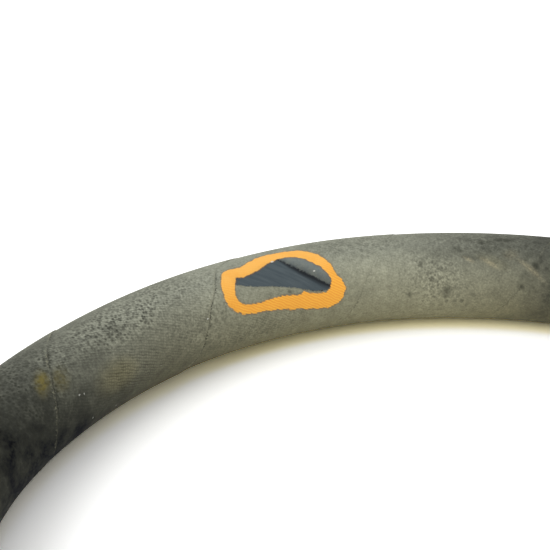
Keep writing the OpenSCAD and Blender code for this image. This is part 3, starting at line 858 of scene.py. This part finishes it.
def add_cover():
    bore = stations((-HOSE_LENGTH / 2, COVER_BORE_STEP))
    cover = wound_tube("hose_cover_wrap", stations(*COVER_STRETCHES), bore, fine_front(), cover_radius,
                       HOSE_R - COVER_WALL, cover_marks)
    cover.data.materials.append(cover_material())
    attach(cover, "hose")
    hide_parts("hose_cover")
    return cover


def layer_material(node, slot):
    if slot == "textile":
        return textile_material()
    if slot == "ply_wire":
        return wire_ply_material(int(node[-1]))
    if slot == "tube_rubber":
        return rubber_material("oil_proof_rubber", "#1f1f21", 0.4)
    return rubber_material(node + "_rubber", "#2c2c2e", 0.6)


def add_layers():
    """The tube, textile, wires and cushions, each a thin closed tube of its own."""
    places = stations((-HOSE_LENGTH / 2, LAYER_STEP))
    sides = np.linspace(-math.pi, math.pi, LAYER_SIDES + 1) * HOSE_R
    inner_r = BORE_R
    pieces = []
    for node, wall, slot in LAYERS:
        outer_r = inner_r + wall
        piece = wound_tube(node + "_round", places, places, sides,
                           lambda along, around: np.full(along.shape, outer_r), inner_r)
        piece.data.materials.append(layer_material(node, slot))
        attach(piece, "hose")
        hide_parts(node)
        pieces.append(piece)
        inner_r = outer_r
    return pieces


def add_hose():
    cover = add_cover()
    layers = add_layers()


# --- Couplings, drawn in mm along +z from the hose's cut end ---

COUPLING_X = 145
CUT_END_Y = -10
# Corners over this angle stay sharp
SHARP = math.radians(35)

# Ferrule: radius and place along it
FERRULE_BORE = 14.75
FERRULE_STEPS = 320
CRIMP_R = 17.6
CRIMP_START, CRIMP_END = -46.5, -5
CRIMP_ROWS = 29
# The crimp comes up to its full form over this length at each end
CRIMP_FADE = 2.5
DIES = 8
RIDGE_H = 0.45
# Half widths of a ridge at its top and foot, and how far a die's face dips below the crimp's radius
RIDGE_TOP, RIDGE_FOOT = 0.35, 1.4
DIE_DISH = 0.3
FERRULE_MOUTH = [(15.35, -55), (18.5, -55), (18.8, -54.7), (18.8, -49.3), (18.7, -48.9), (17.8, -46.8)]
FERRULE_FRONT = [(17.8, -4.5), (18.15, -3.9), (18.2, -3.7), (18.2, -0.2), (18.1, 0.1), (15.6, 5.5),
                 (15.2, 5.85), (11.55, 5.85), (11.55, 2.15), (14.75, 2.15)]
# The bore flares to the mouth from here
FLARE_START = -52.5
TOOTH_GAPS = 6
# Corners of a gap between two teeth: share of the gaps' pitch, and depth
TOOTH_GAP = [(0.775, 0), (0.675, 0.8), (0.325, 0.8), (0.225, 0)]

# Thread in the nut: 12 turns to the inch, flat-topped, standing in from its major radius
PITCH = 25.4 / 12
THREAD_ROOT, THREAD_CREST = 13.6, 12.5
THREAD_START, THREAD_END = 18.9, 34.2
THREAD_FLAT = PITCH / 8
THREAD_STEPS = 60
# Part of a turn over which it runs out at each end
RUN_OUT = 0.25


def at_hose_end(side):
    """Takes a coupling's own mm to metres on the hose end at side 1 (A) or -1 (B)."""
    place = Vector((side * COUPLING_X, CUT_END_Y, COUPLING_H)) * MM
    return Matrix.Translation(place) @ Matrix.Rotation(math.pi / 2, 4, "X") @ Matrix.Scale(MM, 4)


def finish_piece(bm, name, side, body, material):
    """Points the faces outwards, shades the piece and puts it in its place on the hose end."""
    bmesh.ops.recalc_face_normals(bm, faces=bm.faces)
    for face in bm.faces:
        face.smooth = True
    for edge in bm.edges:
        edge.smooth = edge.calc_face_angle(0) < SHARP
    bmesh.ops.transform(bm, matrix=at_hose_end(side), verts=bm.verts)
    mesh = bpy.data.meshes.new(name)
    bm.to_mesh(mesh)
    bm.free()
    mesh.materials.append(material)
    piece = bpy.data.objects.new(name, mesh)
    bpy.context.collection.objects.link(piece)
    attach(piece, body)
    return piece


def ring_of(bm, outline):
    """Closed line of (radius, place along) points, ready to be spun."""
    corners = [bm.verts.new((r, 0, z)) for r, z in outline]
    return corners + [bm.edges.new(pair) for pair in zip(corners, corners[1:] + corners[:1])]


def crimp_radius(angle, z):
    """Between two dies the steel is squeezed up into a ridge; each die leaves a nearly flat face."""
    step = math.tau / DIES
    off_ridge = abs((angle % step) - step / 2)
    face = DIE_DISH * (1 - (1 - off_ridge / (step / 2)) ** 2)
    ridge = max(min((RIDGE_FOOT - off_ridge * CRIMP_R) / (RIDGE_FOOT - RIDGE_TOP), 1), 0)
    ends = max(min((z - CRIMP_START) / CRIMP_FADE, (CRIMP_END - z) / CRIMP_FADE, 1), 0)
    return CRIMP_R + (RIDGE_H * ridge * ridge * (3 - 2 * ridge) - face) * ends


def add_ferrule(end, side, material):
    """Crimped sleeve with a bell mouth, teeth in its bore and a shoulder by the nut."""
    crimp = [(CRIMP_R, z) for z in np.linspace(CRIMP_START, CRIMP_END, CRIMP_ROWS)]
    gap_pitch = (CRIMP_END - CRIMP_START) / TOOTH_GAPS
    teeth = [(FERRULE_BORE + depth, CRIMP_START + (i + at) * gap_pitch)
             for i in range(TOOTH_GAPS - 1, -1, -1) for at, depth in TOOTH_GAP]
    outline = FERRULE_MOUTH + crimp + FERRULE_FRONT + teeth + [(FERRULE_BORE, FLARE_START)]
    bm = bmesh.new()
    bmesh.ops.spin(bm, geom=ring_of(bm, outline), cent=(0, 0, 0), axis=(0, 0, 1), angle=math.tau,
                   steps=FERRULE_STEPS, use_merge=True)
    for corner in bm.verts:
        x, y, z = corner.co
        if abs(math.hypot(x, y) - CRIMP_R) < 1e-3:
            angle = math.atan2(y, x)
            r = crimp_radius(angle, z)
            corner.co = (r * math.cos(angle), r * math.sin(angle), z)
    ferrule = finish_piece(bm, "crimped_ferrule_" + end, side, "hose", material)
    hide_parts("ferrule_" + end)


def add_thread(end, side, material):
    """Right-handed helical ridge in the nut. It runs out at both ends, and its back is sunk in the
    nut's wall."""
    turns = (THREAD_END - THREAD_START) / PITCH - 1
    steps = round(turns * THREAD_STEPS)
    middle = THREAD_START + PITCH / 2
    bm = bmesh.new()
    profile = ring_of(bm, [(THREAD_ROOT, THREAD_START), (THREAD_CREST, middle - THREAD_FLAT / 2),
                           (THREAD_CREST, middle + THREAD_FLAT / 2),
                           (THREAD_ROOT, THREAD_START + PITCH)])
    bmesh.ops.spin(bm, geom=profile, cent=(0, 0, 0), axis=(0, 0, 1), dvec=(0, 0, PITCH / THREAD_STEPS),
                   angle=steps / THREAD_STEPS * math.tau, steps=steps)
    bmesh.ops.holes_fill(bm, edges=[edge for edge in bm.edges if edge.is_boundary])
    for corner in bm.verts:
        x, y, z = corner.co
        r = math.hypot(x, y)
        part_turn = (math.atan2(y, x) / math.tau) % 1
        turn = round((z - middle) / PITCH - part_turn) + part_turn
        full = max(min(turn / RUN_OUT, (turns - turn) / RUN_OUT, 1), 0)
        sunk = THREAD_ROOT - (THREAD_ROOT - r) * full
        corner.co = (x * sunk / r, y * sunk / r, z)
    finish_piece(bm, "nut_thread_" + end, side, "swivel_" + end, material)


# --- Materials of the couplings, on Object coordinates in metres ---

# Bloom in the zinc is 4 mm across and its clouds 14 mm
BLOOM_SCALE, ZINC_CLOUD_SCALE = 260, 70
# Marks of drawing are 0.4 mm wide and 17 mm long
DRAWN_STRETCH = (2500, 60, 2500)
# How far grease and painted shade reach out of a corner, and rubbing and a painted highlight in from an
# edge
GREASE_AND_SHADE_REACH, RUB_AND_HIGHLIGHT_REACH = 2.5 * MM, 0.7 * MM
WIRE_MARKS = 0.2 * MM
OIL_SCALE = 300


def zinc_plate(name, ring_pitch, drawn):
    """Zinc-plated, clear-passivated steel, dulled by handling: mid grey and satin, with chalky bloom,
    brown grease in the corners that is partly painted shade, and rubbed bright edges that are partly a
    painted highlight. The marks in it are the lathe's rings, their pitch in mm, and to the given share
    the lines of a drawn bar or tube."""
    material, tree = new_material(name)
    place = add(tree, "TexCoord").outputs["Object"]
    bloom = add(tree, "TexNoise",
                {"Vector": place, "Scale": BLOOM_SCALE, "Detail": 6, "Roughness": 0.7})
    clouds = add(tree, "TexNoise", {"Vector": place, "Scale": ZINC_CLOUD_SCALE, "Detail": 3})
    rings = add(tree, "TexWave",
                {"Vector": place, "Scale": BAND / (ring_pitch * MM), "Distortion": 0.5, "Detail": 3},
                bands_direction="Y")
    lines = add(tree, "Mapping", {"Vector": place, "Scale": DRAWN_STRETCH})
    lines = add(tree, "TexNoise", {"Vector": lines, "Scale": 1, "Detail": 3})
    marks = add(tree, "Mix", {0: drawn, 2: rings.outputs["Fac"], 3: lines})
    corner = add(tree, "AmbientOcclusion", {"Distance": GREASE_AND_SHADE_REACH}, samples=8, only_local=True)
    edge = add(tree, "AmbientOcclusion", {"Distance": RUB_AND_HIGHLIGHT_REACH}, samples=8, only_local=True,
               inside=True)

    tone = add(tree, "MapRange", (clouds, 0.35, 0.65, 0, 1))
    colour = add(tree, "Mix", {0: tone, 6: srgb("#8f9293"), 7: srgb("#a2a4a3")}, data_type="RGBA")
    in_marks = add(tree, "MapRange", (marks, 0.2, 0.7, 0.22, 0))
    chalk = add(tree, "MapRange", (bloom, 0.54, 0.7, 0, 0.45))
    # partly painted shade: brown grease where ambient occlusion finds a corner
    grease_and_shade = add(tree, "Math", (bloom, 0.5, corner.outputs["AO"]), operation="MULTIPLY_ADD")
    grease_and_shade = add(tree, "MapRange", (grease_and_shade, 0.75, 1.15, 0.8, 0))
    # partly painted highlight: paler rubbed edges where ambient occlusion finds an edge
    rubbed_and_highlight = add(tree, "Math", (bloom, 0.4, edge.outputs["AO"]), operation="MULTIPLY_ADD")
    rubbed_and_highlight = add(tree, "MapRange", (rubbed_and_highlight, 0.7, 1.1, 0.8, 0))
    layers = [(in_marks, "#5d5f5f"), (chalk, "#bdbdb6"), (grease_and_shade, "#4c473c"), (rubbed_and_highlight, "#c8c9c7")]
    for share, over in layers:
        colour = add(tree, "Mix", {0: share, 6: colour, 7: srgb(over)}, data_type="RGBA")

    roughness = add(tree, "MapRange", (bloom, 0.4, 0.65, 0.22, 0.45))
    relief = add(tree, "Math", (chalk, 0.4, marks), operation="MULTIPLY_ADD")
    bump = add(tree, "Bump", {"Strength": 0.6, "Distance": 0.025 * MM, "Height": relief})
    shader = add(tree, "BsdfPrincipled",
                 {"Base Color": colour, "Metallic": 1.0, "Roughness": roughness, "Normal": bump})
    add(tree, "OutputMaterial", {"Surface": shader})
    return material


def spring_wire():
    """Hard-drawn spring wire: dark and oiled, with draw marks."""
    material, tree = new_material("drawn_spring_wire")
    place = add(tree, "TexCoord").outputs["Object"]
    marks = add(tree, "TexWave", {"Vector": place, "Scale": BAND / WIRE_MARKS, "Distortion": 1.0},
                bands_direction="Y")
    oil = add(tree, "TexNoise", {"Vector": place, "Scale": OIL_SCALE, "Detail": 3})
    colour = add(tree, "Mix", {0: oil, 6: srgb("#6c6e71"), 7: srgb("#474a4e")}, data_type="RGBA")
    bump = add(tree, "Bump", {"Strength": 0.3, "Distance": 0.01 * MM, "Height": marks.outputs["Fac"]})
    shader = add(tree, "BsdfPrincipled",
                 {"Base Color": colour, "Metallic": 1.0, "Roughness": 0.3, "Normal": bump})
    add(tree, "OutputMaterial", {"Surface": shader})
    return material


def add_couplings():
    turned = zinc_plate("zinc_plated_turned_steel", ring_pitch=0.45, drawn=0.15)
    crimped = zinc_plate("zinc_plated_crimped_steel", ring_pitch=0.6, drawn=0.6)
    hexagon = zinc_plate("zinc_plated_hexagon_bar", ring_pitch=0.5, drawn=0.85)
    finishes = (("insert_", turned), ("swivel_nut_", hexagon), ("retaining_wire_", spring_wire()))
    for end, side in (("a", 1), ("b", -1)):
        add_ferrule(end, side, crimped)
        add_thread(end, side, turned)
        for node, material in finishes:
            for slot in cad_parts[node + end].material_slots:
                slot.material = material


add_camera()
add_hose()
add_couplings()
add_floor()
add_light()

scene = bpy.context.scene
scene.view_settings.view_transform = "Standard"
